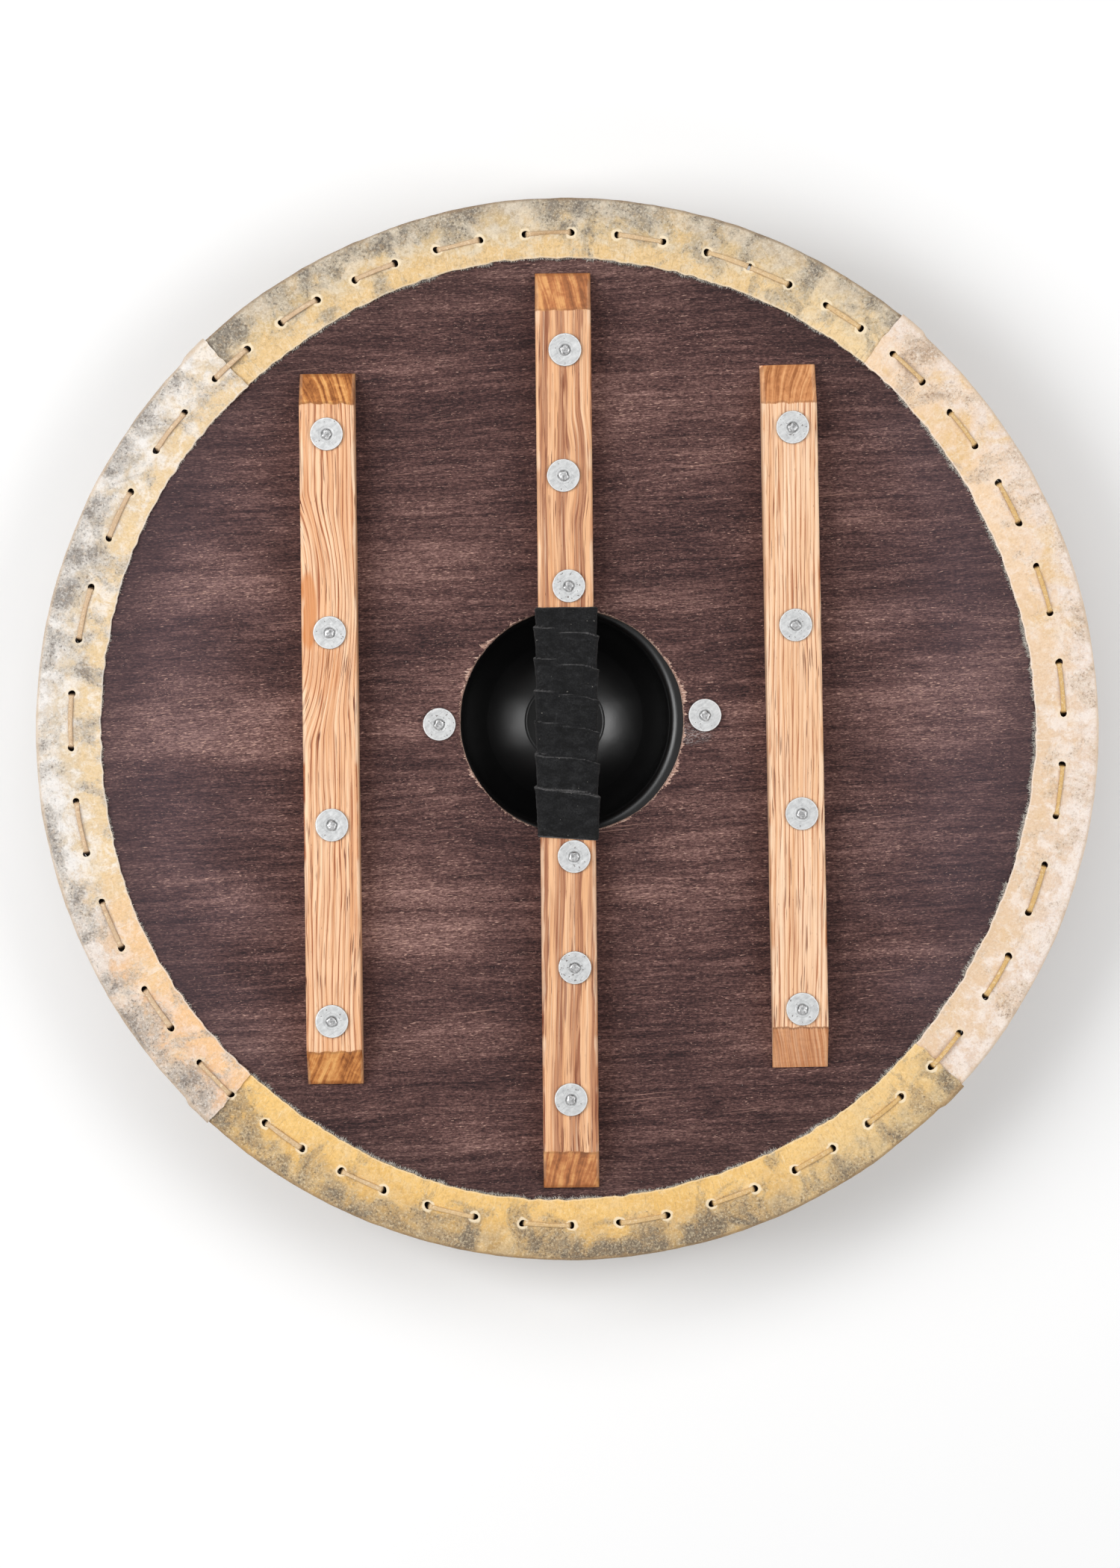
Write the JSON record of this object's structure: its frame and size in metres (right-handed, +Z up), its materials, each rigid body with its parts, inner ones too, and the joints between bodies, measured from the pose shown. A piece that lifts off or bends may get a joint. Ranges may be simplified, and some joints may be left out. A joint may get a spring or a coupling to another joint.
{
  "type": "round wooden shield",
  "caption": "Round shield of dark stained wood with a black steel boss, laced rawhide rim, light wooden battens and a wrapped centre grip, lying face down with its back up.",
  "frame": {"origin": "on the floor under the middle of the rim, level with the boss's flat crown, with the shield lying face down", "axes": "+Z up through the back of the board, +X to the right and +Y to the top of the back, along the grip batten"},
  "size_m": [0.6998, 0.6995, 0.1112],
  "materials": {
    "stained_wood": "dark stain, worn and scratched",
    "pine": "planed and oiled",
    "rawhide": "dried, wrinkled, with hair left on the inner edge",
    "lace": "dried, slightly shiny",
    "suede": "black, fuzzy",
    "black_steel": "satin black",
    "zinc": "galvanised, pitted",
    "nail_steel": "hammered, a little rust"
  },
  "bodies": {
    "root": {"board": "stained_wood", "boss": "black_steel", "batten_left": "pine", "batten_grip": "pine", "batten_right": "pine", "rawhide_top": "rawhide", "rawhide_left": "rawhide", "rawhide_bottom": "rawhide", "rawhide_right": "rawhide", "lace": "lace", "grip_wrap": "suede", "nail_left_1": "nail_steel", "washer_left_1": "zinc", "nail_left_2": "nail_steel", "washer_left_2": "zinc", "nail_left_3": "nail_steel", "washer_left_3": "zinc", "nail_left_4": "nail_steel", "washer_left_4": "zinc", "nail_grip_1": "nail_steel", "washer_grip_1": "zinc", "nail_grip_2": "nail_steel", "washer_grip_2": "zinc", "nail_grip_3": "nail_steel", "washer_grip_3": "zinc", "nail_grip_4": "nail_steel", "washer_grip_4": "zinc", "nail_grip_5": "nail_steel", "washer_grip_5": "zinc", "nail_grip_6": "nail_steel", "washer_grip_6": "zinc", "nail_right_1": "nail_steel", "washer_right_1": "zinc", "nail_right_2": "nail_steel", "washer_right_2": "zinc", "nail_right_3": "nail_steel", "washer_right_3": "zinc", "nail_right_4": "nail_steel", "washer_right_4": "zinc", "nail_boss_left": "nail_steel", "washer_boss_left": "zinc", "nail_boss_right": "nail_steel", "washer_boss_right": "zinc"}
  },
  "joints": []
}
